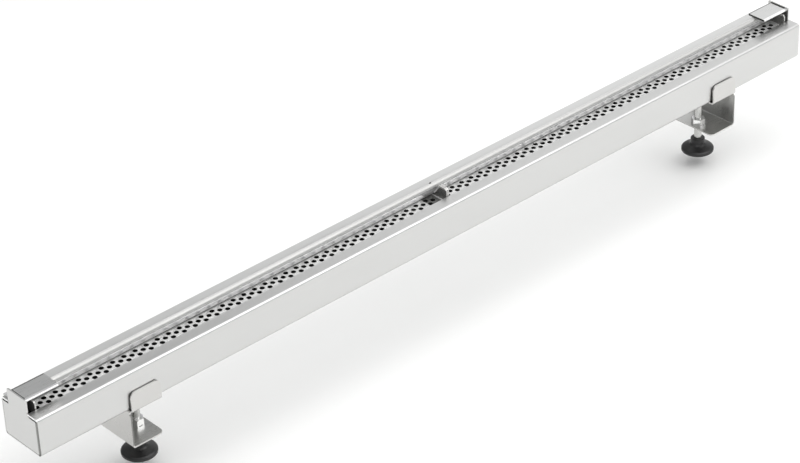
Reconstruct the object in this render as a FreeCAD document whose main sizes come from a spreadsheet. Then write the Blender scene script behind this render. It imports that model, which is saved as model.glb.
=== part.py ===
import FreeCAD, Part
import os
import re
import Sketcher

# Linear slot drain of folded stainless sheet: a long channel with welded end plates,
# a rolled slot rail, two perforated strainers and two saddle legs with screwed feet.
# Millimetres. X runs along the channel, Y from its front to its back, Z up from the floor.

Vector = FreeCAD.Vector
document = FreeCAD.newDocument("ChannelDrain")

SIZES = [
    # channel
    ("channel_length", 1000, "overall length of the channel"),
    ("channel_width", 53, "outside, front wall to back wall"),
    ("channel_height", 40, "underside to the top of the flanges"),
    ("sheet", 1.5, "thickness of all folded sheet"),
    ("bottom_bend", 3, "inside radius of the two bottom bends"),
    ("tight_bend", 1, "inside radius of every sharp fold"),
    ("front_flange", 14.3, "width of the front flange"),
    ("back_flange", 9.5, "width of the back flange"),
    ("outlet_diameter", 32, "outlet hole in the bottom, at mid length"),
    # end plates and hoods
    ("shoulder_gap", 1.7, "slit between an end plate's shoulders and the flanges"),
    ("tongue_rise", 13.6, "end plate's tongue above the flanges"),
    ("tongue_gap", 0.8, "end plate's tongue to the flange edges"),
    ("tongue_fillet", 4.2, "radius at the foot of the tongue's front edge"),
    ("hood_length", 35.5, "along the channel"),
    ("hood_width", 22, "across the channel"),
    ("hood_sheet", 2, "thickness of the two hoods"),
    ("hood_reach", 6.8, "hood in front of the rail's nose"),
    # slot rail
    ("slot_opening", 9.7, "front flange edge to the sharp line of the rail's nose"),
    ("rail_rise", 10.5, "rail's crest above the flanges"),
    ("rail_depth", 11, "rail's nose to its back wall"),
    ("rail_lean", 10.5, "how far the rail's front wall leans back on its way down"),
    ("rail_end_gap", 0.5, "rail to each end plate"),
    ("nose_bend", 2.5, "inside radius of the rail's nose"),
    ("rail_foot_gap", 1, "rail's lower edge to the strainer"),
    # strainers
    ("strainer_depth", 5.5, "strainer's floor below the flanges"),
    ("strainer_width", 23.4, "over the two skirts"),
    ("strainer_front_gap", 0.8, "front flange edge to the strainer, level"),
    ("strainer_left_gap", 7.4, "left end plate to the left strainer"),
    ("strainer_joint_gap", 0.4, "between the two strainers"),
    ("strainer_right_gap", 4.4, "right strainer to the right end plate"),
    ("tab_rise", 13.2, "strainer's end tabs above its floor"),
    ("tab_corner", 3.5, "radius of the end tabs' upper front corners"),
    ("tab_gap", 1.5, "end tabs' back edge to the rail's leaning wall, level"),
    ("fold_relief", 1, "relief between the skirts' ends and the tabs' folds"),
    ("skirt_depth", 9, "strainer's skirts between the legs"),
    ("leg_length", 20, "each strainer leg, along the channel"),
    ("leg_inset", 60, "strainer legs from the skirts' ends"),
    ("hole_diameter", 5, "strainer holes"),
    ("hole_spacing", 12.7, "along a row"),
    ("row_spacing", 3.67, "between rows, half a spacing staggered"),
    ("hole_margin", 7.1, "strainer's left end to the first holes, and the least at its right end"),
    # saddle legs
    ("left_leg_inset", 96, "left leg from the channel's left end"),
    ("right_leg_inset", 102, "right leg from the channel's right end"),
    ("saddle_width", 35, "along the channel"),
    ("saddle_gap", 2, "upright tabs to the channel walls, and the inside radius there"),
    ("saddle_rise", 20, "upright tabs above the channel's underside"),
    ("saddle_corner", 6, "radius of the upright tabs' upper corners"),
    ("leg_drop", 40, "channel's underside to the foot plate's underside"),
    ("leg_side", 1.5, "leg plate beyond each channel wall"),
    ("leg_notch", 4.5, "relief notches beside the saddle's folds, downwards"),
    ("foot_corner", 5, "radius of the foot plate's free corners"),
    # feet
    ("screw_inset", 25, "foot screw from the leg's outer face"),
    ("screw_diameter", 8, "thread size of the foot screw"),
    ("screw_top", 12, "foot screw's end below the channel's underside"),
    ("screw_show", 16, "bare foot screw between the foot plate and the pad"),
    ("running_gap", 0.05, "radial clearance of the foot screw in its nut and pad"),
    ("plate_hole_gap", 0.5, "radial clearance of the foot screw in the foot plate"),
    ("end_play", 0.4, "below the foot screw's lower end"),
    ("screw_chamfer", 0.8, "both ends of the foot screw"),
    ("nut_width", 13, "across the flats"),
    ("nut_height", 6.5, "height of the weld nut"),
    ("pad_diameter", 34.5, "foot pad"),
    ("pad_height", 15, "foot pad"),
    ("pad_rim", 3, "height of the pad's rim"),
    ("collar_diameter", 15, "pad's collar"),
    ("collar_height", 6, "straight part of the collar"),
    ("socket_floor", 4.5, "under the foot screw's socket"),
    ("pad_recess", 1.2, "hollow under the pad"),
]

sheet = document.addObject("Spreadsheet::Sheet", "Sizes")
sheet.Label = "Sizes"
for row, (alias, amount, meaning) in enumerate(SIZES, start=1):
    sheet.set("A%d" % row, alias)
    sheet.set("B%d" % row, str(amount))
    sheet.set("C%d" % row, meaning)
    sheet.setAlias("B%d" % row, alias)
document.recompute()
ALIASES = {alias for alias, amount, meaning in SIZES}


def linked(text):
    """The same formula, with every size name pointing into the sheet."""
    return re.sub(r"[a-z_]+", lambda m: "Sizes." + m[0] if m[0] in ALIASES else m[0], text)


def amount_of(text):
    """Present value of a formula in the sheet's sizes."""
    return float(sheet.evalExpression(text))


# ---- derived sizes, as formulas ------------------------------------------------------------

CHANNEL_BASE = "(pad_height + screw_show + leg_drop)"
FRONT = "(-channel_width / 2)"
BACK = "(channel_width / 2)"
SLOT_EDGE = "(-channel_width / 2 + front_flange)"
BACK_EDGE = "(channel_width / 2 - back_flange)"
STRAINER_TOP = "(channel_height - strainer_depth)"
STRAINER_GAPS = "(strainer_left_gap + strainer_joint_gap + strainer_right_gap)"
STRAINER_LENGTH = "((channel_length - 2 * sheet - %s) / 2)" % STRAINER_GAPS
STRAINER_MIDDLE = "(-channel_width / 2 + front_flange + strainer_front_gap + strainer_width / 2)"
OUTER_BEND = "(tight_bend + sheet)"
HOLE_COUNT = "(floor((%s - 2 * hole_margin) / hole_spacing - 0.5) + 1)" % STRAINER_LENGTH


# ---- small makers ---------------------------------------------------------------------------

def new_body(label, x="0", y="0", z="0"):
    """A body whose place follows the sheet."""
    body = document.addObject("PartDesign::Body", label)
    body.Label = label
    body.setExpression(".Placement.Base.x", linked(x))
    body.setExpression(".Placement.Base.y", linked(y))
    body.setExpression(".Placement.Base.z", linked(z))
    return body


def origin_plane(body, role):
    return next(item for item in body.Origin.OriginFeatures if item.Role == role)


def new_sketch(body, name, role, lift="0"):
    """An empty sketch on one of the body's own planes, lifted along its normal."""
    sketch = body.newObject("Sketcher::SketchObject", name)
    sketch.AttachmentSupport = [(origin_plane(body, role), "")]
    sketch.MapMode = "FlatFace"
    sketch.setExpression(".AttachmentOffset.Base.z", linked(lift))
    return sketch


def bind(sketch, constraint, formula):
    index = sketch.addConstraint(constraint)
    name = "size%d" % index
    sketch.renameConstraint(index, name)
    sketch.setExpression("Constraints." + name, linked(formula))


def pin_point(sketch, item, end, across, up):
    """Ties one point of a line or circle to two formulas."""
    bind(sketch, Sketcher.Constraint("DistanceX", -1, 1, item, end, amount_of(across)), across)
    bind(sketch, Sketcher.Constraint("DistanceY", -1, 1, item, end, amount_of(up)), up)


def add_outline(sketch, corners):
    """A closed outline of straight edges through corners given as formulas."""
    points = [Vector(amount_of(across), amount_of(up), 0) for across, up in corners]
    count = len(points)
    first = sketch.GeometryCount
    for index in range(count):
        sketch.addGeometry(Part.LineSegment(points[index], points[(index + 1) % count]), False)
    for index in range(count):
        following = first + (index + 1) % count
        sketch.addConstraint(Sketcher.Constraint("Coincident", first + index, 2, following, 1))
    for index, (across, up) in enumerate(corners):
        pin_point(sketch, first + index, 1, across, up)


def add_rectangle(sketch, low_across, low_up, high_across, high_up):
    corners = [
        (low_across, low_up),
        (high_across, low_up),
        (high_across, high_up),
        (low_across, high_up),
    ]
    add_outline(sketch, corners)


def add_circle(sketch, across, up, diameter):
    centre = Vector(amount_of(across), amount_of(up), 0)
    circle = Part.Circle(centre, Vector(0, 0, 1), amount_of(diameter) / 2)
    item = sketch.addGeometry(circle, False)
    bind(sketch, Sketcher.Constraint("Diameter", item, amount_of(diameter)), diameter)
    pin_point(sketch, item, 3, across, up)


def pad(body, sketch, depth, symmetric=False):
    feature = body.newObject("PartDesign::Pad", sketch.Name + "_pad")
    feature.Profile = sketch
    feature.SideType = "Symmetric" if symmetric else "One side"
    feature.setExpression("Length", linked(depth))
    document.recompute()
    return feature


def pocket(body, sketch, depth, symmetric=False):
    feature = body.newObject("PartDesign::Pocket", sketch.Name + "_pocket")
    feature.Profile = sketch
    feature.SideType = "Symmetric" if symmetric else "One side"
    feature.setExpression("Length", linked(depth))
    document.recompute()
    return feature


def turn(body, sketch, cut=False):
    """A full turn of a profile about the vertical axis."""
    kind = "Groove" if cut else "Revolution"
    feature = body.newObject("PartDesign::" + kind, sketch.Name + "_turn")
    feature.Profile = sketch
    feature.ReferenceAxis = (sketch, ["V_Axis"])
    feature.Angle = 360
    document.recompute()
    return feature


def straight_edges(shape, along, spots):
    """Names of the edges that run along one axis through the given cross positions."""
    wanted = [[amount_of(part) for part in spot] for spot in spots]
    cross = [axis for axis in range(3) if axis != along]
    names = []
    for number, edge in enumerate(shape.Edges, start=1):
        if edge.Curve.TypeId != "Part::GeomLine":
            continue
        start = edge.Vertexes[0].Point
        end = edge.Vertexes[-1].Point
        if any(abs(start[axis] - end[axis]) > 0.001 for axis in cross):
            continue
        place = [start[axis] for axis in cross]
        if any(abs(place[0] - a) < 0.001 and abs(place[1] - b) < 0.001 for a, b in wanted):
            names.append("Edge%d" % number)
    return names


def round_edges(body, along, spots, radius):
    """Rounds the straight edges along one axis (0 X, 1 Y, 2 Z) at the given spots."""
    base = body.Tip
    local = base.Shape.copy()
    names = straight_edges(local, along, spots)
    if len(names) < len(spots):
        raise RuntimeError("%s: %d of %d edges found" % (body.Label, len(names), len(spots)))
    feature = body.newObject("PartDesign::Fillet", "%s_round%d" % (body.Label, len(body.Group)))
    feature.Base = (base, names)
    feature.setExpression("Radius", linked(radius))
    document.recompute()
    return feature


def round_rings(body, rings, radius):
    """Rounds circular edges given by their radius and height."""
    base = body.Tip
    wanted = [(amount_of(a), amount_of(b)) for a, b in rings]
    names = []
    for number, edge in enumerate(base.Shape.Edges, start=1):
        if edge.Curve.TypeId != "Part::GeomCircle":
            continue
        size = edge.Curve.Radius
        level = edge.Curve.Center.z
        if any(abs(size - a) < 0.001 and abs(level - b) < 0.001 for a, b in wanted):
            names.append("Edge%d" % number)
    feature = body.newObject("PartDesign::Fillet", "%s_round%d" % (body.Label, len(body.Group)))
    feature.Base = (base, names)
    feature.setExpression("Radius", linked(radius))
    document.recompute()
    return feature


# ---- channel body: bottom, two walls and two inward flanges from one sheet ------------------

def build_channel():
    body = new_body("channel_body", z=CHANNEL_BASE)
    profile = new_sketch(body, "channel_profile", "YZ_Plane")
    top = "channel_height"
    under = "channel_height - sheet"
    corners = [
        (SLOT_EDGE, top),
        (FRONT, top),
        (FRONT, "0"),
        (BACK, "0"),
        (BACK, top),
        (BACK_EDGE, top),
        (BACK_EDGE, under),
        (BACK + " - sheet", under),
        (BACK + " - sheet", "sheet"),
        (FRONT + " + sheet", "sheet"),
        (FRONT + " + sheet", under),
        (SLOT_EDGE, under),
    ]
    add_outline(profile, corners)
    pad(body, profile, "channel_length", symmetric=True)
    round_edges(body, 0, [(FRONT, "0"), (BACK, "0")], "bottom_bend + sheet")
    inner_bottom = [(FRONT + " + sheet", "sheet"), (BACK + " - sheet", "sheet")]
    round_edges(body, 0, inner_bottom, "bottom_bend")
    round_edges(body, 0, [(FRONT, top), (BACK, top)], OUTER_BEND)
    inner_top = [(FRONT + " + sheet", under), (BACK + " - sheet", under)]
    round_edges(body, 0, inner_top, "tight_bend")
    outlet = new_sketch(body, "channel_outlet", "XY_Plane", "sheet")
    add_circle(outlet, "0", "0", "outlet_diameter")
    pocket(body, outlet, "2 * sheet")
    return body


# ---- end plate: flush inside the channel's end, with a tongue up through the slot -----------

def build_end_plate(label, side):
    body = new_body(label, x="%d * (channel_length - sheet) / 2" % side, z=CHANNEL_BASE)
    shoulder = "channel_height - sheet - shoulder_gap"
    crown = "channel_height + tongue_rise"
    inner_front = FRONT + " + sheet"
    inner_back = BACK + " - sheet"
    tongue_front = SLOT_EDGE + " + tongue_gap"
    tongue_back = BACK_EDGE + " - tongue_gap"
    outline = new_sketch(body, label + "_outline", "YZ_Plane")
    corners = [
        (inner_front, "sheet"),
        (inner_back, "sheet"),
        (inner_back, shoulder),
        (tongue_back, shoulder),
        (tongue_back, crown),
        (tongue_front, crown),
        (tongue_front, shoulder),
        (inner_front, shoulder),
    ]
    add_outline(outline, corners)
    pad(body, outline, "sheet", symmetric=True)
    round_edges(body, 0, [(inner_front, "sheet"), (inner_back, "sheet")], "bottom_bend")
    round_edges(body, 0, [(tongue_front, shoulder)], "tongue_fillet")
    round_edges(body, 0, [(tongue_front, crown), (tongue_back, crown)], "tight_bend")
    return body


# ---- end hood: flat cover over the slot's end, on the rail's crest --------------------------

def build_end_hood(label, side):
    place = "%d * (channel_length / 2 - sheet - hood_length / 2)" % side
    body = new_body(label, x=place, z=CHANNEL_BASE)
    outline = new_sketch(body, label + "_outline", "XY_Plane", "channel_height + rail_rise")
    front = SLOT_EDGE + " + slot_opening - hood_reach"
    add_rectangle(outline, "-hood_length / 2", front, "hood_length / 2", front + " + hood_width")
    pad(body, outline, "hood_sheet")
    return body


# ---- slot rail: flat back strip, upstand, crest, rolled nose and leaning front wall ---------

def build_slot_rail():
    body = new_body("slot_rail", z=CHANNEL_BASE)
    nose = SLOT_EDGE + " + slot_opening"
    wall = nose + " + rail_depth"
    foot = nose + " + rail_lean"
    strip = "channel_height"
    crest = "channel_height + rail_rise"
    low = STRAINER_TOP + " + rail_foot_gap"
    fall = "(rail_rise + strainer_depth - rail_foot_gap)"
    slant = "sqrt(rail_lean ^ 2 + %s ^ 2)" % fall
    inward = "sheet * %s / %s" % (fall, slant)
    upward = "sheet * rail_lean / %s" % slant
    inner_nose = nose + " + %s + rail_lean * (sheet + %s) / %s" % (inward, upward, fall)
    corners = [
        (BACK, strip),
        (BACK, strip + " + sheet"),
        (wall, strip + " + sheet"),
        (wall, crest),
        (nose, crest),
        (foot, low),
        (foot + " + " + inward, low + " + " + upward),
        (inner_nose, crest + " - sheet"),
        (wall + " - sheet", crest + " - sheet"),
        (wall + " - sheet", strip),
    ]
    profile = new_sketch(body, "rail_profile", "YZ_Plane")
    add_outline(profile, corners)
    pad(body, profile, "channel_length - 2 * (sheet + rail_end_gap)", symmetric=True)
    round_edges(body, 0, [(nose, crest)], "nose_bend + sheet")
    round_edges(body, 0, [(inner_nose, crest + " - sheet")], "nose_bend")
    outer = [(wall, crest), (wall + " - sheet", strip)]
    round_edges(body, 0, outer, OUTER_BEND)
    inner = [(wall, strip + " + sheet"), (wall + " - sheet", crest + " - sheet")]
    round_edges(body, 0, inner, "tight_bend")
    return body


# ---- strainer: perforated floor, end tabs folded up, skirts and legs folded down ------------

def build_strainer(label, side):
    joint = "((strainer_left_gap - strainer_right_gap) / 2)"
    place = "%s + %d * (%s + strainer_joint_gap) / 2" % (joint, side, STRAINER_LENGTH)
    body = new_body(label, x=place, y=STRAINER_MIDDLE, z=CHANNEL_BASE)
    half = STRAINER_LENGTH + " / 2"
    edge = "strainer_width / 2"
    top = STRAINER_TOP
    under = STRAINER_TOP + " - sheet"
    skirt_end = half + " - %s - fold_relief" % OUTER_BEND

    section = new_sketch(body, label + "_skirts", "YZ_Plane")
    corners = [
        ("-" + edge, "sheet"),
        ("-" + edge, top),
        (edge, top),
        (edge, "sheet"),
        (edge + " - sheet", "sheet"),
        (edge + " - sheet", under),
        ("sheet - " + edge, under),
        ("sheet - " + edge, "sheet"),
    ]
    add_outline(section, corners)
    pad(body, section, "2 * (%s)" % skirt_end, symmetric=True)
    round_edges(body, 0, [("-" + edge, top), (edge, top)], OUTER_BEND)
    round_edges(body, 0, [("sheet - " + edge, under), (edge + " - sheet", under)], "tight_bend")

    # skirts cut short on both sides of their legs
    arches = new_sketch(body, label + "_arches", "XZ_Plane")
    arch_top = top + " - skirt_depth"
    leg_end = skirt_end + " - leg_inset"
    leg_start = leg_end + " - leg_length"
    add_rectangle(arches, "-(%s)" % half, "0", "-(%s)" % leg_end, arch_top)
    add_rectangle(arches, "-(%s)" % leg_start, "0", leg_start, arch_top)
    add_rectangle(arches, leg_end, "0", half, arch_top)
    pocket(body, arches, "2 * strainer_width", symmetric=True)

    # floor past the skirts, narrowed by the relief beside the folds
    floor = new_sketch(body, label + "_floor", "XY_Plane", under)
    inner_edge = edge + " - " + OUTER_BEND
    fold = half + " - " + OUTER_BEND
    add_rectangle(floor, "-(%s)" % fold, "-(%s)" % inner_edge, fold, inner_edge)
    pad(body, floor, "sheet")

    # tab folded up at each end, as wide as the strainer
    crown = top + " + tab_rise"
    for end in ("-", ""):
        name = label + ("_left_tab" if end else "_right_tab")
        tab = new_sketch(body, name, "XZ_Plane")
        outside = "%s(%s)" % (end, half)
        inside = "%s(%s - sheet)" % (end, half)
        start = "%s(%s)" % (end, fold)
        corners = [
            (start, under),
            (outside, under),
            (outside, crown),
            (inside, crown),
            (inside, top),
            (start, top),
        ]
        add_outline(tab, corners)
        pad(body, tab, "strainer_width", symmetric=True)
        round_edges(body, 1, [(outside, under)], OUTER_BEND)
        round_edges(body, 1, [(inside, top)], "tight_bend")

    # back edge of the tabs, leaning with the rail's front wall
    lean = new_sketch(body, label + "_lean", "YZ_Plane")
    nose = SLOT_EDGE + " + slot_opening - " + STRAINER_MIDDLE
    slope = "(rail_lean / (rail_rise + strainer_depth - rail_foot_gap))"
    drop = "%s * (channel_height + rail_rise - (%%s))" % slope
    tab_high = nose + " - tab_gap + " + drop % crown
    tab_low = nose + " - tab_gap + " + drop % (top + " + " + OUTER_BEND)
    corners = [
        (tab_low, top + " + " + OUTER_BEND),
        ("2 * (%s)" % edge, top + " + " + OUTER_BEND),
        ("2 * (%s)" % edge, crown),
        (tab_high, crown),
    ]
    add_outline(lean, corners)
    pocket(body, lean, "2 * " + STRAINER_LENGTH, symmetric=True)
    round_edges(body, 0, [("-" + edge, crown)], "tab_corner")

    # three staggered rows of round holes
    holes = new_sketch(body, label + "_holes", "XY_Plane", top)
    start = "hole_margin - %s" % half
    for line in (-1, 0, 1):
        shift = " + hole_spacing / 2" if line == 0 else ""
        add_circle(holes, start + shift, "%d * row_spacing" % line, "hole_diameter")
    first_holes = pocket(body, holes, "2 * sheet")
    rows = body.newObject("PartDesign::LinearPattern", label + "_rows")
    rows.Originals = [first_holes]
    rows.Direction = (holes, ["H_Axis"])
    rows.setExpression("Length", linked("(%s - 1) * hole_spacing" % HOLE_COUNT))
    rows.setExpression("Occurrences", linked(HOLE_COUNT))
    body.Tip = rows
    document.recompute()
    return body


# ---- saddle leg: saddle under the channel, upright tabs, leg plate and foot plate -----------

def leg_place(side):
    """Outer face of a leg: the left leg is side -1, the right leg side +1."""
    inset = "left_leg_inset" if side < 0 else "right_leg_inset"
    return "%d * (channel_length / 2 - %s)" % (side, inset)


def screw_place(side):
    return leg_place(side) + " - %d * screw_inset" % side


def build_leg(label, side):
    body = new_body(label, x=leg_place(side), z=CHANNEL_BASE)
    sign = "-" if side > 0 else ""
    reach = sign + "saddle_width"
    skin = sign + "sheet"
    floor = "-leg_drop"
    plate_edge = "channel_width / 2 + leg_side"

    # leg plate and foot plate, with the saddle's flat part
    fold = new_sketch(body, label + "_fold", "XZ_Plane")
    corners = [
        (reach, "0"),
        ("0", "0"),
        ("0", floor),
        (reach, floor),
        (reach, "sheet - leg_drop"),
        (skin, "sheet - leg_drop"),
        (skin, "-sheet"),
        (reach, "-sheet"),
    ]
    add_outline(fold, corners)
    pad(body, fold, "2 * (%s)" % plate_edge, symmetric=True)
    round_edges(body, 1, [("0", "0"), ("0", floor)], OUTER_BEND)
    round_edges(body, 1, [(skin, "-sheet"), (skin, "sheet - leg_drop")], "tight_bend")
    free_corners = [(reach, plate_edge), (reach, "-(%s)" % plate_edge)]
    foot_edges = [name for name in straight_edges(body.Tip.Shape, 2, free_corners)
                  if body.Tip.Shape.getElement(name).BoundBox.ZMax < amount_of("-leg_drop / 2")]
    rounded = body.newObject("PartDesign::Fillet", label + "_foot_corners")
    rounded.Base = (rounded.BaseFeature, foot_edges)
    rounded.setExpression("Radius", linked("foot_corner"))
    document.recompute()

    # relief beside the folds, so that the leg plate stops under the walls
    relief = new_sketch(body, label + "_relief", "YZ_Plane")
    for end in ("", "-"):
        near = end + "(channel_width / 2)"
        far = end + "(channel_width / 2 + 2 * leg_side)"
        add_rectangle(relief, near, "-leg_notch", far, "sheet")
    pocket(body, relief, "3 * saddle_width", symmetric=True)

    # saddle with its two upright tabs
    side_out = "channel_width / 2 + saddle_gap + sheet"
    side_in = "channel_width / 2 + saddle_gap"
    saddle = new_sketch(body, label + "_saddle", "YZ_Plane", skin)
    corners = [
        ("-(%s)" % side_out, "saddle_rise"),
        ("-(%s)" % side_out, "-sheet"),
        (side_out, "-sheet"),
        (side_out, "saddle_rise"),
        (side_in, "saddle_rise"),
        (side_in, "0"),
        ("-(%s)" % side_in, "0"),
        ("-(%s)" % side_in, "saddle_rise"),
    ]
    add_outline(saddle, corners)
    raised = pad(body, saddle, "saddle_width - sheet")
    if side > 0:
        raised.Reversed = True
        document.recompute()
    outer = [("-(%s)" % side_out, "-sheet"), (side_out, "-sheet")]
    round_edges(body, 0, outer, "saddle_gap + sheet")
    round_edges(body, 0, [("-(%s)" % side_in, "0"), (side_in, "0")], "saddle_gap")
    round_edges(body, 1, [(skin, "saddle_rise"), (reach, "saddle_rise")], "saddle_corner")

    # hole for the foot screw
    hole = new_sketch(body, label + "_hole", "XY_Plane", "sheet - leg_drop")
    add_circle(hole, sign + "screw_inset", "0", "screw_diameter + 2 * plate_hole_gap")
    pocket(body, hole, "2 * sheet")
    return body


# ---- weld nut on the foot plate -------------------------------------------------------------

def build_nut(label, side):
    base = "(pad_height + screw_show + sheet)"
    body = new_body(label, x=screw_place(side), z=base)
    hexagon = new_sketch(body, label + "_hexagon", "XY_Plane")
    corner = "nut_width / 2 / cos(30 deg)"
    corners = []
    for step in range(6):
        across = "%s * cos(%d deg)" % (corner, 60 * step)
        up = "%s * sin(%d deg)" % (corner, 60 * step)
        corners.append((across, up))
    add_outline(hexagon, corners)
    pad(body, hexagon, "nut_height")
    bore = new_sketch(body, label + "_bore", "XY_Plane", "nut_height")
    add_circle(bore, "0", "0", "screw_diameter + 2 * running_gap")
    pocket(body, bore, "2 * nut_height")
    # 30 degree bevel on the upper corners
    bevel = new_sketch(body, label + "_bevel", "XZ_Plane")
    flat = "nut_width / 2 * 0.97"
    wide = "nut_width"
    drop = "(%s - %s) * tan(30 deg)" % (wide, flat)
    corners = [
        (flat, "nut_height"),
        (wide, "nut_height - " + drop),
        (wide, "nut_height"),
    ]
    add_outline(bevel, corners)
    turn(body, bevel, cut=True)
    return body


# ---- foot screw: plain rod at the thread's outer size ---------------------------------------

def build_screw(label, side):
    body = new_body(label, x=screw_place(side), z="socket_floor + end_play")
    length = "(%s - screw_top - socket_floor - end_play)" % CHANNEL_BASE
    radius = "screw_diameter / 2"
    profile = new_sketch(body, label + "_profile", "XZ_Plane")
    corners = [
        ("0", "0"),
        (radius + " - screw_chamfer", "0"),
        (radius, "screw_chamfer"),
        (radius, length + " - screw_chamfer"),
        (radius + " - screw_chamfer", length),
        ("0", length),
    ]
    add_outline(profile, corners)
    turn(body, profile)
    return body


# ---- foot pad: bell with a collar and a blind socket ----------------------------------------

def build_pad(label, side):
    body = new_body(label, x=screw_place(side))
    profile = new_sketch(body, label + "_profile", "XZ_Plane")
    rim = "pad_diameter / 2"
    collar = "collar_diameter / 2"
    neck = "pad_height - collar_height"
    socket = "screw_diameter / 2 + running_gap"
    hollow = rim + " - 2 * pad_rim"
    corners = [
        ("0", "pad_recess"),
        (hollow, "pad_recess"),
        (hollow, "0"),
        (rim, "0"),
        (rim, "pad_rim"),
        (rim + " - pad_rim / 2", "pad_rim * 1.5"),
        (collar + " + pad_rim / 2", neck + " - pad_rim / 2"),
        (collar, neck),
        (collar, "pad_height"),
        (socket, "pad_height"),
        (socket, "socket_floor"),
        ("0", "socket_floor"),
    ]
    add_outline(profile, corners)
    turn(body, profile)
    round_rings(body, [(rim, "pad_rim"), (rim + " - pad_rim / 2", "pad_rim * 1.5")], "pad_rim / 3")
    round_rings(body, [(collar, "pad_height"), (rim, "0")], "pad_rim / 4")
    return body


# ---- the whole drain ------------------------------------------------------------------------

parts = [build_channel(), build_slot_rail()]
for hand, side in (("left", -1), ("right", 1)):
    parts.append(build_end_plate("end_plate_" + hand, side))
    parts.append(build_end_hood("end_hood_" + hand, side))
    parts.append(build_strainer("strainer_" + hand, side))
    parts.append(build_leg("saddle_leg_" + hand, side))
    parts.append(build_nut("weld_nut_" + hand, side))
    parts.append(build_screw("foot_screw_" + hand, side))
    parts.append(build_pad("foot_pad_" + hand, side))
document.recompute()

for item in document.Objects:
    if "Invalid" in item.State or "Error" in item.State:
        raise RuntimeError("%s: %s" % (item.Label, item.State))
for body in parts:
    if body.Shape.isNull() or not body.Shape.isValid() or len(body.Shape.Solids) != 1:
        raise RuntimeError("%s is not one valid solid" % body.Label)

os.makedirs("parts", exist_ok=True)
for body in parts:
    body.Shape.exportStep("parts/%s.step" % body.Label)
    print(body.Label, "%.1f mm3" % body.Shape.Volume)
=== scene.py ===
from math import atan, cos, pi, radians, sin

import bpy
from mathutils import Matrix, Vector


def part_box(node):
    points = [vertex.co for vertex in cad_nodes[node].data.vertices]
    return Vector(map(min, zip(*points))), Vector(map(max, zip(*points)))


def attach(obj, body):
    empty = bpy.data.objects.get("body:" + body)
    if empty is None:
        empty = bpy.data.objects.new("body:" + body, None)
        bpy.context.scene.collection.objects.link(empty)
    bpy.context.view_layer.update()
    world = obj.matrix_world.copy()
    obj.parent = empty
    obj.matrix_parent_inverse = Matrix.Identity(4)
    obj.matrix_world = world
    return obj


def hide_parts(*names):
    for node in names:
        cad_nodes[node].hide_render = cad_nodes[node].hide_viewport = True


bl_info = {
    "name": "Channel Drain Finishes",
    "version": (1, 0, 0),
    "blender": (4, 5, 0),
    "location": "View3D > Sidebar > Drain",
    "description": "Threads, weld beads, sheet metal finishes and studio for a slot drain",
    "category": "Object",
}

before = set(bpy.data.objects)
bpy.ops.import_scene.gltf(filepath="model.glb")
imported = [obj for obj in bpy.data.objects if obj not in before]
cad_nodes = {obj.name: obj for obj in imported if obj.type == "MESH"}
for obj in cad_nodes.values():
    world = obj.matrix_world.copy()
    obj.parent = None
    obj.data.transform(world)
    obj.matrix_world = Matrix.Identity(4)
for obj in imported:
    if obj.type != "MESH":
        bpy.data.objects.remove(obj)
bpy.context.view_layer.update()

MM = 0.001
HANDS = ("left", "right")
screw_low, screw_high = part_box("foot_screw_left")
nut_low, nut_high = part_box("weld_nut_left")
channel_low, channel_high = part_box("channel_body")
hood_low, hood_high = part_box("end_hood_left")
rail_low, rail_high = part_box("slot_rail")
# in millimetres, as the lens's focal length is
SENSOR_WIDTH = 36
# a mark's face may stray this far from the axis it faces, or lie this far from its plane
FACING = 0.3
IN_PLANE = 0.1 * MM


# ---- sizes and colours a user would change ------------------------------------------------------

class DrainThreadSettings(bpy.types.PropertyGroup):
    """Thread of the two foot screws."""

    outer_diameter: bpy.props.FloatProperty(
        name="Outer diameter",
        description="Over the thread's crests",
        default=screw_high.x - screw_low.x,
        unit="LENGTH",
    )
    pitch: bpy.props.FloatProperty(
        name="Pitch",
        description="From one thread crest to the next",
        default=1.25 * MM,
        unit="LENGTH",
    )
    depth: bpy.props.FloatProperty(
        name="Depth",
        description="Crest to root",
        default=0.72 * MM,
        unit="LENGTH",
    )
    chamfer: bpy.props.FloatProperty(
        name="End chamfer",
        description="Bevel on both ends of the screw",
        default=0.8 * MM,
        unit="LENGTH",
    )


class DrainWeldSettings(bpy.types.PropertyGroup):
    """Beads that hold the nuts to the foot plates."""

    bead_radius: bpy.props.FloatProperty(
        name="Bead radius",
        description="Half thickness of a nut's weld bead",
        default=0.7 * MM,
        unit="LENGTH",
    )
    bead_length: bpy.props.FloatProperty(
        name="Bead length",
        description="Along one flat of the nut",
        default=5 * MM,
        unit="LENGTH",
    )


class DrainSaddleSettings(bpy.types.PropertyGroup):
    """Spring of the saddle tabs, and the rail's hook hole."""

    spring_in: bpy.props.FloatProperty(
        name="Spring in",
        description="How far a tab's top leans towards the channel",
        default=1.3 * MM,
        unit="LENGTH",
    )
    hook_hole: bpy.props.FloatProperty(
        name="Hook hole",
        description="Diameter of the hole in the rail's crest",
        default=4 * MM,
        unit="LENGTH",
    )
    hook_place: bpy.props.FloatProperty(
        name="Hook hole place",
        description="Along the channel from its middle",
        default=-5.8 * MM,
        unit="LENGTH",
    )


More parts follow.
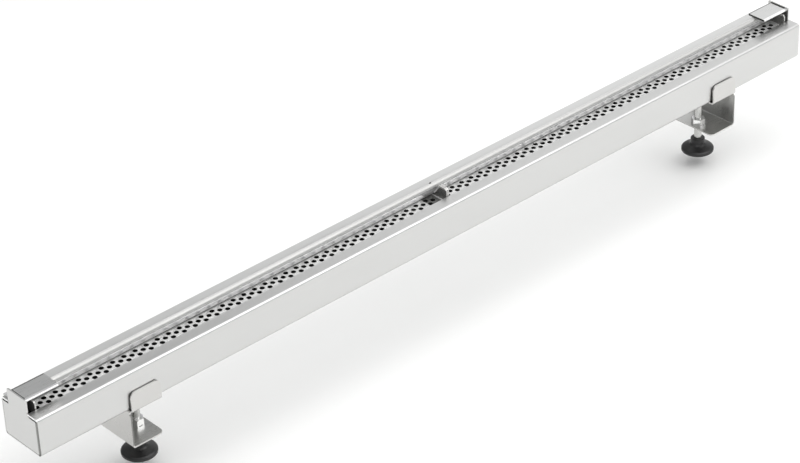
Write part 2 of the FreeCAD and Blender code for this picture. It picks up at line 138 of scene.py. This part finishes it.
class DrainFinishSettings(bpy.types.PropertyGroup):
    """Colours and gloss of the drain's metals and plastic, and of the painted shade and highlights
    on them.
    """

    steel_colour: bpy.props.StringProperty(
        name="Stainless sheet",
        description="sRGB hex colour of the folded sheet",
        default="#D1D1D0",
    )
    leg_colour: bpy.props.StringProperty(
        name="Saddle legs",
        description="sRGB hex colour of the folded leg sheet",
        default="#CFCECC",
    )
    rail_colour: bpy.props.StringProperty(
        name="Slot rail",
        description="sRGB hex colour of the slot rail and the hoods",
        default="#DADAD9",
    )
    punched_colour: bpy.props.StringProperty(
        name="Strainers",
        description="sRGB hex colour of the punched sheet",
        default="#FAFAF9",
    )
    # colour of the bright turned nuts, and of painted highlights on the flanges' free ends, the
    # hoods' front edges and the rail's leaning wall
    bright_nut_and_highlight: bpy.props.StringProperty(
        name="Bright edges",
        description="sRGB hex colour of ground edges and turned nuts",
        default="#FFFFFF",
    )
    # colour of the welded corners, and of painted shade on the hoods' back edges and the strainer
    # tabs' left faces, a painted reflection of the dark middle tab on the left floor, and the
    # legs' darker front edges
    weld_tint_and_shade: bpy.props.StringProperty(
        name="Weld tint",
        description="sRGB hex colour of welded corners and dull edges",
        default="#868684",
    )
    # painted shade inside the channel, in the strainers' holes and under the strainers
    inner_shade: bpy.props.StringProperty(
        name="Insides",
        description="sRGB hex colour inside the channel and under the strainers",
        default="#454544",
    )
    # painted shade at the hoods' ends, in the seam against the tongue and on the end edge over the
    # strip
    gap_shade: bpy.props.StringProperty(
        name="Dark edges",
        description="sRGB hex colour of the hoods' seams and end edges",
        default="#4A4A49",
    )
    # painted shade on the legs' inner faces, the foot plates' tops and the rail's crest, where it
    # tones the highlight down
    shade_tone: bpy.props.StringProperty(
        name="Dull side",
        description="sRGB hex colour of the legs' inner side and the rail's crest",
        default="#BEBEBC",
    )
    fastener_colour: bpy.props.StringProperty(
        name="Screws and welds",
        description="sRGB hex colour of the threads and the bare weld metal",
        default="#C9C9C7",
    )
    pad_colour: bpy.props.StringProperty(
        name="Foot pads",
        description="sRGB hex colour of the moulded plastic",
        default="#1B1B1C",
    )
    sheet_roughness: bpy.props.FloatProperty(
        name="Sheet roughness",
        description="Satin finish of the folded sheet",
        default=0.3,
        min=0.0,
        max=1.0,
        subtype="FACTOR",
    )


class DrainStudioSettings(bpy.types.PropertyGroup):
    """Camera, floor and lamps."""

    floor_colour: bpy.props.StringProperty(
        name="Floor",
        description="sRGB hex colour of the studio floor",
        default="#FBFBFA",
    )
    floor_drop: bpy.props.FloatProperty(
        name="Floor drop",
        description="Floor below the feet, clear of the pads' lowest setting",
        default=16 * MM,
        unit="LENGTH",
    )
    camera_azimuth: bpy.props.FloatProperty(
        name="Camera azimuth",
        description="Turn of the view about the vertical",
        default=radians(41.22),
        subtype="ANGLE",
    )
    camera_elevation: bpy.props.FloatProperty(
        name="Camera elevation",
        description="Downward tilt of the view",
        default=radians(32.41),
        subtype="ANGLE",
    )
    camera_roll: bpy.props.FloatProperty(
        name="Camera roll",
        description="Lean of the horizon",
        default=radians(-2.35),
        subtype="ANGLE",
    )
    camera_distance: bpy.props.FloatProperty(
        name="Camera distance",
        description="Lens to the aim point",
        default=2.72,
        unit="LENGTH",
    )
    focal_length: bpy.props.FloatProperty(
        name="Focal length",
        description="On a 36 mm sensor",
        default=126.3,
    )


# ---- small makers -------------------------------------------------------------------------------

def linear_colour(text):
    """An sRGB hex colour as linear RGBA."""
    parts = [int(text[i:i + 2], 16) / 255 for i in (1, 3, 5)]
    straight = [c / 12.92 if c <= 0.04045 else ((c + 0.055) / 1.055) ** 2.4 for c in parts]
    return (*straight, 1.0)


def add_node(tree, kind, settings=None, **links):
    """Adds a node, sets its properties and sockets, and links its inputs."""
    node = tree.nodes.new(kind)
    for name, value in (settings or {}).items():
        if name in node.inputs.keys():
            node.inputs[name].default_value = value
        else:
            setattr(node, name, value)
    for name, source in links.items():
        tree.links.new(source, node.inputs[name.replace("_", " ")])
    return node


def start_fresh():
    """Object mode with nothing selected, so that operators act only on the new piece."""
    if bpy.context.object and bpy.context.object.mode != "OBJECT":
        bpy.ops.object.mode_set(mode="OBJECT")
    bpy.ops.object.select_all(action="DESELECT")


def select_only(piece):
    start_fresh()
    piece.select_set(True)
    bpy.context.view_layer.objects.active = piece


def finish_place(piece):
    """Moves the piece's place into its mesh and leaves the object at the origin."""
    select_only(piece)
    bpy.ops.object.transform_apply(location=True, rotation=True, scale=True)


def edit(piece):
    select_only(piece)
    bpy.ops.object.mode_set(mode="EDIT")


def apply_modifier(piece, kind, **settings):
    select_only(piece)
    modifier = piece.modifiers.new(kind.title(), kind)
    for name, value in settings.items():
        setattr(modifier, name, value)
    bpy.ops.object.modifier_apply(modifier=modifier.name)


def shade_smooth(piece, angle):
    select_only(piece)
    bpy.ops.object.shade_smooth_by_angle(angle=angle)


def give_material(piece, material):
    piece.data.materials.clear()
    piece.data.materials.append(material)


def paint_node(name, material):
    """Puts a material in a CAD node's slot."""
    cad_nodes[name].material_slots[0].material = material


def centre_of(node):
    low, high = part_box(node)
    return (low + high) / 2


def merged_copy(node, name):
    """A solid's mesh as a new piece, its loose triangles merged."""
    start_fresh()
    piece = cad_nodes[node].copy()
    piece.data = cad_nodes[node].data.copy()
    piece.name = name
    piece.data.name = name
    piece.parent = None
    bpy.context.collection.objects.link(piece)
    edit(piece)
    bpy.ops.mesh.select_all(action="SELECT")
    bpy.ops.mesh.remove_doubles(threshold=0.002 * MM)
    bpy.ops.mesh.customdata_custom_splitnormals_clear()
    bpy.ops.object.mode_set(mode="OBJECT")
    return piece


def pick_vertices(piece, wanted):
    """Selects the vertices whose place passes the test, and enters edit mode on them."""
    edit(piece)
    bpy.ops.mesh.select_mode(type="VERT")
    bpy.ops.mesh.select_all(action="DESELECT")
    bpy.ops.object.mode_set(mode="OBJECT")
    for vertex in piece.data.vertices:
        vertex.select = wanted(vertex.co)
    bpy.ops.object.mode_set(mode="EDIT")


# ---- materials ----------------------------------------------------------------------------------

def spots(tree, place, tests):
    """1 where every test holds: a coordinate or a facing within reach of its value."""
    sources = {
        "": add_node(tree, "ShaderNodeSeparateXYZ", Vector=place.outputs["Object"]),
        "facing ": add_node(tree, "ShaderNodeSeparateXYZ", Vector=place.outputs["Normal"]),
    }
    mask = None
    for what, value, reach in tests:
        kind, axis = what[:-1], what[-1]
        test = add_node(tree, "ShaderNodeMath", {"operation": "COMPARE"})
        tree.links.new(sources[kind].outputs[axis], test.inputs[0])
        test.inputs[1].default_value = value
        test.inputs[2].default_value = reach
        if mask:
            both = add_node(tree, "ShaderNodeMath", {"operation": "MULTIPLY"})
            tree.links.new(mask, both.inputs[0])
            tree.links.new(test.outputs["Value"], both.inputs[1])
            mask = both.outputs["Value"]
        else:
            mask = test.outputs["Value"]
    return mask


def new_finish(name, colour, amounts):
    """A material with its shader's colour and amounts set, and its object coordinates."""
    material = bpy.data.materials.new(name)
    material.use_nodes = True
    tree = material.node_tree
    shader = tree.nodes["Principled BSDF"]
    shader.inputs["Base Color"].default_value = linear_colour(colour)
    for socket, amount in amounts.items():
        shader.inputs[socket].default_value = amount
    return material, tree, shader, add_node(tree, "ShaderNodeTexCoord")


def add_bump(tree, shader, height, strength):
    """Roughens the surface by a twentieth of a millimetre at most."""
    bump = add_node(
        tree, "ShaderNodeBump", {"Strength": strength, "Distance": 0.05 * MM}, Height=height
    )
    tree.links.new(bump.outputs["Normal"], shader.inputs["Normal"])


def drawn_noise(tree, place, grain, across, along, settings):
    """Noise drawn out along one axis: blots so wide across it and so long along it."""
    scale = [1 / across] * 3
    scale["XYZ".index(grain)] = 1 / along
    drawn = add_node(tree, "ShaderNodeMapping", {"Scale": scale}, Vector=place.outputs["Object"])
    return add_node(
        tree, "ShaderNodeTexNoise", {"Scale": 1.0, **settings}, Vector=drawn.outputs["Vector"]
    )


def add_marks(tree, shader, place, colour, marks):
    """Paints each mark's colour over the last where all its tests hold."""
    shade = None
    for mark_colour, tests in marks:
        painted = add_node(tree, "ShaderNodeMix", {"data_type": "RGBA"})
        tree.links.new(spots(tree, place, tests), painted.inputs["Factor"])
        painted.inputs[6].default_value = linear_colour(colour)
        if shade:
            tree.links.new(shade, painted.inputs[6])
        painted.inputs[7].default_value = linear_colour(mark_colour)
        shade = painted.outputs[2]
    if shade:
        tree.links.new(shade, shader.inputs["Base Color"])


def satin_stainless(name, colour, roughness, grain, metallic=1.0, marks=()):
    """Cold rolled stainless sheet, finely brushed: soft stretched highlights, hairline grain.

    Marks are (colour, tests) pairs: weld tint, and painted shade, highlights and reflections on
    edges and sides."""
    material, tree, shader, place = new_finish(name, colour, {"Metallic": metallic})
    add_marks(tree, shader, place, colour, marks)
    # hairlines are about 0.05 mm wide and are drawn 0.5 mm wide, so that they show
    hairlines = drawn_noise(
        tree, place, grain, 0.5 * MM, 60 * MM, {"Detail": 2.0, "Roughness": 0.6}
    )
    # rolling leaves soft patches 80 mm long
    patches = drawn_noise(
        tree, place, grain, 25 * MM, 80 * MM, {"Detail": 3.0, "Roughness": 0.55}
    )
    gloss = add_node(tree, "ShaderNodeMath", {"operation": "ADD"})
    for socket, noise, middle, swing in (
        (0, hairlines, 0.0, 0.035),
        (1, patches, roughness, 0.03),
    ):
        reach = {"To Min": middle - swing, "To Max": middle + swing}
        part = add_node(
            tree,
            "ShaderNodeMapRange",
            {"From Min": 0.3, "From Max": 0.7, **reach},
            Value=noise.outputs["Fac"],
        )
        tree.links.new(part.outputs["Result"], gloss.inputs[socket])
    tree.links.new(gloss.outputs["Value"], shader.inputs["Roughness"])
    add_bump(tree, shader, hairlines.outputs["Fac"], 0.03)
    return material


def grained_finish(name, colour, amounts, grain_size, strength):
    """A finish with an even fine grain."""
    material, tree, shader, place = new_finish(name, colour, amounts)
    grain = add_node(
        tree,
        "ShaderNodeTexNoise",
        {"Scale": 1 / grain_size, "Detail": 2.0},
        Vector=place.outputs["Object"],
    )
    add_bump(tree, shader, grain.outputs["Fac"], strength)
    return material


def moulded_polyamide(name, colour):
    """Injection moulded black polyamide: deep grey-black with a soft, slightly grained sheen."""
    return grained_finish(name, colour, {"Roughness": 0.38, "IOR": 1.53}, 0.6 * MM, 0.15)


def turned_steel(name, colour, roughness):
    """Machined and rolled stainless fasteners: brighter and glossier than the sheet."""
    return grained_finish(
        name, colour, {"Metallic": 1.0, "Roughness": roughness}, 0.8 * MM, 0.1
    )


# ---- foot screws --------------------------------------------------------------------------------

class DRAIN_OT_foot_screws(bpy.types.Operator):
    """Cut the rolled thread of both foot screws"""

    bl_idname = "drain.foot_screws"
    bl_label = "Foot screw threads"

    def execute(self, context):
        settings = context.scene.drain_thread
        steel = turned_steel(
            "Rolled stainless thread", context.scene.drain_finish.fastener_colour, 0.26
        )
        first = self.make_screw(settings)
        for hand in HANDS:
            start_fresh()
            piece = first.copy()
            piece.data = first.data.copy()
            piece.name = "threaded_screw_" + hand
            context.collection.objects.link(piece)
            piece.location = centre_of("foot_screw_" + hand)
            finish_place(piece)
            give_material(piece, steel)
            shade_smooth(piece, radians(35))
            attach(piece, hand + "_screw")
            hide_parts("foot_screw_" + hand)
        bpy.data.objects.remove(first)
        return {"FINISHED"}

    def make_screw(self, settings):
        """A threaded rod centred on the origin."""
        length = screw_high.z - screw_low.z
        pitch = settings.pitch
        crest = settings.outer_diameter / 2
        root = crest - settings.depth
        # longer than the rod, so that its runouts can be cut off square
        turns = int(length / pitch) + 4
        start_fresh()
        bpy.ops.mesh.primitive_plane_add(size=MM)
        thread = bpy.context.object
        bpy.ops.object.mode_set(mode="EDIT")
        bpy.ops.mesh.merge(type="CENTER")
        bpy.ops.transform.translate(value=(root, 0, -turns * pitch / 2))
        # root flat, flank, crest flat, flank: one turn of the thread's outline
        depth = settings.depth
        for out, up in ((0, 1 / 8), (depth, 5 / 16), (0, 1 / 8), (-depth, 7 / 16)):
            bpy.ops.mesh.extrude_vertices_move(
                TRANSFORM_OT_translate={"value": (out, 0, up * pitch)}
            )
        bpy.ops.object.mode_set(mode="OBJECT")
        apply_modifier(
            thread,
            "SCREW",
            angle=2 * pi,
            screw_offset=pitch,
            iterations=turns,
            steps=24,
            render_steps=24,
            use_merge_vertices=True,
            merge_threshold=0.001 * MM,
        )
        edit(thread)
        bpy.ops.mesh.select_all(action="SELECT")
        bpy.ops.mesh.remove_doubles(threshold=0.002 * MM)
        for height, side in ((-length / 2 - pitch / 3, False), (length / 2 + pitch / 3, True)):
            bpy.ops.mesh.select_all(action="SELECT")
            bpy.ops.mesh.bisect(
                plane_co=(0, 0, height),
                plane_no=(0, 0, 1),
                use_fill=True,
                clear_inner=not side,
                clear_outer=side,
            )
        bpy.ops.mesh.select_all(action="SELECT")
        bpy.ops.mesh.normals_make_consistent(inside=False)
        bpy.ops.object.mode_set(mode="OBJECT")

        start_fresh()
        bpy.ops.mesh.primitive_cylinder_add(vertices=48, radius=crest, depth=length)
        blank = bpy.context.object
        edit(blank)
        bpy.ops.mesh.select_all(action="DESELECT")
        bpy.ops.object.mode_set(mode="OBJECT")
        for edge in blank.data.edges:
            ends = [blank.data.vertices[i].co.z for i in edge.vertices]
            edge.select = abs(ends[0] - ends[1]) < 0.01 * MM
        bpy.ops.object.mode_set(mode="EDIT")
        bpy.ops.mesh.bevel(offset=settings.chamfer, segments=1)
        bpy.ops.object.mode_set(mode="OBJECT")
        apply_modifier(thread, "BOOLEAN", operation="INTERSECT", object=blank, solver="EXACT")
        bpy.data.objects.remove(blank)
        return thread


# ---- sprung saddles -----------------------------------------------------------------------------

class DRAIN_OT_sprung_saddles(bpy.types.Operator):
    """Spring the saddles' upright tabs in towards the channel's walls"""

    bl_idname = "drain.sprung_saddles"
    bl_label = "Sprung saddle tabs"

    def execute(self, context):
        settings = context.scene.drain_saddle
        for hand in HANDS:
            node = "saddle_leg_" + hand
            low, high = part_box(node)
            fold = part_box("channel_body")[0].z
            piece = merged_copy(node, "sprung_" + node)
            for side, edge in ((-1, low.y), (1, high.y)):
                pick_vertices(
                    piece,
                    lambda place: place.z > fold + 2 * MM and abs(place.y - edge) < 4 * MM,
                )
                bpy.ops.transform.rotate(
                    value=-side * atan(settings.spring_in / (high.z - fold)),
                    orient_axis="X",
                    orient_type="GLOBAL",
                    center_override=(0, edge, fold),
                )
            bpy.ops.object.mode_set(mode="OBJECT")
            shade_smooth(piece, radians(30))
            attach(piece, "drain")
            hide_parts(node)
        return {"FINISHED"}


# ---- slot rail ----------------------------------------------------------------------------------

class DRAIN_OT_hook_hole(bpy.types.Operator):
    """Drill the small hook hole in the slot rail's crest"""

    bl_idname = "drain.hook_hole"
    bl_label = "Hook hole in the rail"

    def execute(self, context):
        settings = context.scene.drain_saddle
        crest_middle = 6.6 * MM
        rail = merged_copy("slot_rail", "drilled_slot_rail")
        start_fresh()
        bpy.ops.mesh.primitive_cylinder_add(
            vertices=32,
            radius=settings.hook_hole / 2,
            depth=8 * MM,
            location=(settings.hook_place, crest_middle, rail_high.z),
        )
        drill = context.object
        finish_place(drill)
        apply_modifier(rail, "BOOLEAN", operation="DIFFERENCE", object=drill, solver="EXACT")
        bpy.data.objects.remove(drill)
        shade_smooth(rail, radians(30))
        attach(rail, "drain")
        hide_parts("slot_rail")
        return {"FINISHED"}


# ---- nut weld beads -----------------------------------------------------------------------------

class DRAIN_OT_nut_welds(bpy.types.Operator):
    """Lay the short weld beads that hold each nut to its foot plate"""

    bl_idname = "drain.nut_welds"
    bl_label = "Nut weld beads"

    def execute(self, context):
        settings = context.scene.drain_weld
        steel = turned_steel(
            "Bare weld metal", context.scene.drain_finish.fastener_colour, 0.42
        )
        for hand in HANDS:
            low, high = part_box("weld_nut_" + hand)
            beads = [self.make_bead(settings, low, high, radians(turn)) for turn in (30, 150, 270)]
            start_fresh()
            for bead in beads:
                bead.select_set(True)
            context.view_layer.objects.active = beads[0]
            bpy.ops.object.join()
            piece = context.object
            piece.name = "nut_welds_" + hand
            give_material(piece, steel)
            shade_smooth(piece, radians(50))
            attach(piece, "drain")
        return {"FINISHED"}

    def make_bead(self, settings, low, high, angle):
        """One bead along the flat that faces the angle, cut off at the nut's foot."""
        middle = (low + high) / 2
        flat = (nut_high.y - nut_low.y) / 2
        start_fresh()
        bpy.ops.mesh.primitive_uv_sphere_add(
            segments=16, ring_count=8, radius=settings.bead_radius
        )
        bead = bpy.context.object
        bpy.ops.object.mode_set(mode="EDIT")
        bpy.ops.mesh.select_all(action="SELECT")
        bpy.ops.transform.resize(value=(1, settings.bead_length / settings.bead_radius / 2, 1))
        bpy.ops.object.mode_set(mode="OBJECT")
        bead.rotation_euler.z = angle
        bead.location = (middle.x + flat * cos(angle), middle.y + flat * sin(angle), low.z)
        finish_place(bead)
        edit(bead)
        bpy.ops.mesh.select_all(action="SELECT")
        bpy.ops.mesh.bisect(
            plane_co=(0, 0, low.z), plane_no=(0, 0, 1), use_fill=True, clear_inner=True
        )
        bpy.ops.object.mode_set(mode="OBJECT")
        return bead


# ---- finishes of the CAD pieces -----------------------------------------------------------------

class DRAIN_OT_finishes(bpy.types.Operator):
    """Give the sheet metal, nuts and pads their finishes"""

    bl_idname = "drain.finishes"
    bl_label = "Sheet, nut and pad finishes"

    def execute(self, context):
        settings = context.scene.drain_finish
        flange = channel_high.z
        # the space under the strainers
        below = ("Z", 88 * MM, 16 * MM)
        channel, plates = self.channel_and_plates(settings, flange, below)
        rail = self.rail(settings, flange)
        hoods = self.hoods(settings)
        punched = self.strainers(settings, flange, below)
        nut_steel = turned_steel("Bright turned stainless", settings.bright_nut_and_highlight, 0.18)
        plastic = moulded_polyamide("Moulded black polyamide", settings.pad_colour)
        paint_node("channel_body", channel)
        give_material(bpy.data.objects["drilled_slot_rail"], rail)
        for hand, inward in (("left", 1), ("right", -1)):
            legs = self.legs(settings, hand, inward)
            give_material(bpy.data.objects["sprung_saddle_leg_" + hand], legs)
            paint_node("end_plate_" + hand, plates)
            paint_node("end_hood_" + hand, hoods)
            paint_node("strainer_" + hand, punched)
            paint_node("weld_nut_" + hand, nut_steel)
            paint_node("foot_pad_" + hand, plastic)
        return {"FINISHED"}

    def channel_and_plates(self, settings, flange, below):
        sheet = settings.steel_colour
        satin = settings.sheet_roughness
        end = channel_high.x
        upright = "facing Z", 0.0, FACING
        flange_edge = 1.7 * MM
        cut_flange = upright, ("Z", flange, flange_edge)
        cut_wall = upright, ("Z", flange / 2, flange / 2 - flange_edge)
        corner_weld = "Y", channel_low.y, 3.6 * MM
        ends = ("X", end, IN_PLANE), ("X", -end, IN_PLANE)
        # channel ends: painted highlight where the flanges stand free, weld tint down the front
        # corner weld
        marks = [(settings.bright_nut_and_highlight, (side, *cut_flange)) for side in ends]
        marks += [(settings.weld_tint_and_shade, (side, corner_weld, *cut_wall)) for side in ends]
        # painted shade inside the channel, seen dark through the strainers' holes
        inside = ("Y", 0.0, channel_high.y - 1.2 * MM), below
        marks.append((settings.inner_shade, inside))
        channel = satin_stainless(
            "Satin stainless, channel", sheet, satin + 0.04, "X", marks=marks
        )
        plate_marks = [(settings.weld_tint_and_shade, (corner_weld,))]
        plates = satin_stainless(
            "Satin stainless, end plates", sheet, satin + 0.02, "Y", marks=plate_marks
        )
        return channel, plates

    def rail(self, settings, flange):
        # painted shade on the rail's crest tones its highlight down; a painted reflection
        # brightens its leaning front wall
        crest = ("facing Y", -0.55, 0.4), ("Z", rail_high.z, 3 * MM)
        leaning = ("facing Z", -0.55, 0.38), ("Z", flange, 12 * MM)
        marks = [(settings.shade_tone, crest), (settings.bright_nut_and_highlight, leaning)]
        roughness = settings.sheet_roughness + 0.14
        return satin_stainless(
            "Satin stainless, rail", settings.rail_colour, roughness, "X", 0.95, marks
        )

    def hoods(self, settings):
        # painted shade at the hoods' ends: in the seam against the tongue, and on the edge over
        # the strip
        marks = []
        for side in (-1, 1):
            seam = ("X", side * abs(hood_low.x), 1.6 * MM)
            edge = ("X", side * abs(hood_high.x), IN_PLANE)
            marks += [(settings.gap_shade, (seam,)), (settings.gap_shade, (edge,))]
        # painted highlight along the front edge, on its face and the top beside it; painted shade
        # along the top's back edge
        top = "facing Z", 1.0, FACING
        marks.append((settings.bright_nut_and_highlight, (("facing Y", -1.0, FACING),)))
        marks.append((settings.bright_nut_and_highlight, (top, ("Y", hood_low.y, 2.2 * MM))))
        marks.append((settings.weld_tint_and_shade, (top, ("Y", hood_high.y, 1.3 * MM))))
        return satin_stainless(
            "Satin stainless, hoods",
            settings.rail_colour,
            settings.sheet_roughness,
            "X",
            marks=marks,
        )

    def strainers(self, settings, flange, below):
        # the floor's near-white colour is painted light for the deep slot, and the tabs keep the
        # plain sheet colour; painted shade on the tabs' left faces, in the holes and underneath
        tabs = ("Z", flange + 4.5 * MM, 5 * MM)
        tab_faces = ("facing X", -1.0, FACING), ("Z", flange, 6 * MM)
        holes = ("facing Z", 0.0, FACING), ("Z", flange - 6.2 * MM, 0.8 * MM)
        # a painted reflection of the dark middle tab on the left floor just before it
        top = "facing Z", 1.0, FACING
        fold = top, ("X", -9 * MM, 7 * MM), ("Z", flange - 5 * MM, 2 * MM)
        marks = [
            (settings.weld_tint_and_shade, fold),
            (settings.leg_colour, (tabs,)),
            (settings.weld_tint_and_shade, tab_faces),
            (settings.inner_shade, holes),
            (settings.inner_shade, (below,)),
        ]
        return satin_stainless(
            "Mill finish stainless, punched",
            settings.punched_colour,
            settings.sheet_roughness - 0.04,
            "X",
            0.5,
            marks,
        )

    def legs(self, settings, hand, inward):
        # brushed outside; painted shade on the inner faces of leg and foot plate; the leg plate's
        # front edge painted darker
        leg_plate = ("Z", 50 * MM, 19.5 * MM)
        foot_plate = ("Z", 32 * MM, 2 * MM)
        cut_edge = ("Z", 51 * MM, 17 * MM)
        marks = [
            (settings.shade_tone, (("facing X", inward, FACING), leg_plate)),
            (settings.shade_tone, (("facing Z", 1.0, FACING), foot_plate)),
            (settings.weld_tint_and_shade, (("facing Y", -1.0, FACING), cut_edge)),
        ]
        return satin_stainless(
            "Satin stainless, leg " + hand,
            settings.leg_colour,
            settings.sheet_roughness,
            "X",
            marks=marks,
        )


# ---- studio -------------------------------------------------------------------------------------

class DRAIN_OT_studio(bpy.types.Operator):
    """Set up the pale floor, soft lamps and camera"""

    bl_idname = "drain.studio"
    bl_label = "Studio"

    def execute(self, context):
        scene = context.scene
        settings = scene.drain_studio
        scene.view_settings.view_transform = "Standard"
        self.add_floor(settings)
        self.add_air(scene)
        # name, place, aim, width, height, brightness as seen from the drain
        self.add_lamp("overhead", (0.2, -0.7, 3.0), (0.2, -0.7, 0), 5.2, 5.0, 1.42)
        self.add_lamp("front_right", (1.7, -1.9, 2.0), (0.1, 0, 0.1), 2.8, 2.6, 1.1)
        self.add_lamp("back_right", (2.85, 1.45, 1.6), (0.3, 0, 0.1), 3.0, 2.6, 0.55)
        self.add_camera(scene, settings)
        return {"FINISHED"}

    def add_air(self, scene):
        """Soft light from all round, weaker towards the floor."""
        world = bpy.data.worlds.new("Studio air")
        world.use_nodes = True
        tree = world.node_tree
        sky = add_node(tree, "ShaderNodeTexCoord")
        upward = add_node(tree, "ShaderNodeSeparateXYZ", Vector=sky.outputs["Generated"])
        glow = add_node(
            tree,
            "ShaderNodeMapRange",
            {"From Min": 0.0, "From Max": 0.45, "To Min": 0.2, "To Max": 0.42},
            Value=upward.outputs["Z"],
        )
        air = tree.nodes["Background"]
        air.inputs["Color"].default_value = linear_colour("#F7F8F9")
        tree.links.new(glow.outputs["Result"], air.inputs["Strength"])
        scene.world = world

    def add_floor(self, settings):
        start_fresh()
        bpy.ops.mesh.primitive_plane_add(size=12, location=(0, 0, -settings.floor_drop))
        floor = bpy.context.object
        floor.name = "studio_floor"
        paint = bpy.data.materials.new("Pale floor paint")
        paint.use_nodes = True
        shader = paint.node_tree.nodes["Principled BSDF"]
        shader.inputs["Base Color"].default_value = linear_colour(settings.floor_colour)
        shader.inputs["Roughness"].default_value = 0.9
        shader.inputs["Specular IOR Level"].default_value = 0.1
        give_material(floor, paint)

    def add_lamp(self, name, place, aim, width, height, brightness):
        """A soft card whose face is as bright as given, whatever its size."""
        start_fresh()
        bpy.ops.object.light_add(type="AREA", location=place)
        lamp = bpy.context.object
        lamp.name = name + "_lamp"
        lamp.data.shape = "RECTANGLE"
        lamp.data.size = width
        lamp.data.size_y = height
        # a flat even card of face brightness b gives off pi * area * b watts
        lamp.data.energy = pi * width * height * brightness
        lamp.rotation_euler = (Vector(aim) - Vector(place)).to_track_quat("-Z", "Y").to_euler()

    def add_camera(self, scene, settings):
        turn = settings.camera_azimuth
        tilt = settings.camera_elevation
        roll = settings.camera_roll
        forward = Vector((sin(turn) * cos(tilt), cos(turn) * cos(tilt), -sin(tilt)))
        level = Vector((cos(turn), -sin(turn), 0))
        upright = level.cross(forward)
        across = cos(roll) * level + sin(roll) * upright
        up = -sin(roll) * level + cos(roll) * upright
        aim = Vector((-40.6, 12.8, 78.6)) * MM
        start_fresh()
        bpy.ops.object.camera_add()
        camera = bpy.context.object
        camera.name = "product_camera"
        camera.data.lens = settings.focal_length
        camera.data.sensor_width = SENSOR_WIDTH
        turned = Matrix((across, up, -forward)).transposed().to_4x4()
        camera.matrix_world = Matrix.Translation(aim - forward * settings.camera_distance) @ turned
        camera.data.clip_end = 50
        scene.camera = camera


# ---- panel and registration ---------------------------------------------------------------------

OPERATORS = (
    DRAIN_OT_foot_screws,
    DRAIN_OT_nut_welds,
    DRAIN_OT_sprung_saddles,
    DRAIN_OT_hook_hole,
    DRAIN_OT_finishes,
    DRAIN_OT_studio,
)

SETTINGS = {
    "drain_thread": DrainThreadSettings,
    "drain_weld": DrainWeldSettings,
    "drain_saddle": DrainSaddleSettings,
    "drain_finish": DrainFinishSettings,
    "drain_studio": DrainStudioSettings,
}


class DRAIN_PT_panel(bpy.types.Panel):
    """Lists the drain's settings and the operators that use them"""

    bl_idname = "DRAIN_PT_panel"
    bl_label = "Channel Drain"
    bl_space_type = "VIEW_3D"
    bl_region_type = "UI"
    bl_category = "Drain"

    def draw(self, context):
        for name, group in SETTINGS.items():
            box = self.layout.box()
            box.label(text=group.__doc__)
            for entry in group.__annotations__:
                box.prop(getattr(context.scene, name), entry)
        for operator in OPERATORS:
            self.layout.operator(operator.bl_idname)


def register():
    for group in SETTINGS.values():
        bpy.utils.register_class(group)
    for name, group in SETTINGS.items():
        setattr(bpy.types.Scene, name, bpy.props.PointerProperty(type=group))
    for operator in OPERATORS:
        bpy.utils.register_class(operator)
    bpy.utils.register_class(DRAIN_PT_panel)


def unregister():
    bpy.utils.unregister_class(DRAIN_PT_panel)
    for operator in reversed(OPERATORS):
        bpy.utils.unregister_class(operator)
    for name, group in SETTINGS.items():
        delattr(bpy.types.Scene, name)
        bpy.utils.unregister_class(group)


def main():
    register()
    bpy.ops.drain.foot_screws()
    bpy.ops.drain.nut_welds()
    bpy.ops.drain.sprung_saddles()
    bpy.ops.drain.hook_hole()
    bpy.ops.drain.finishes()
    bpy.ops.drain.studio()


if __name__ == "__main__":
    main()
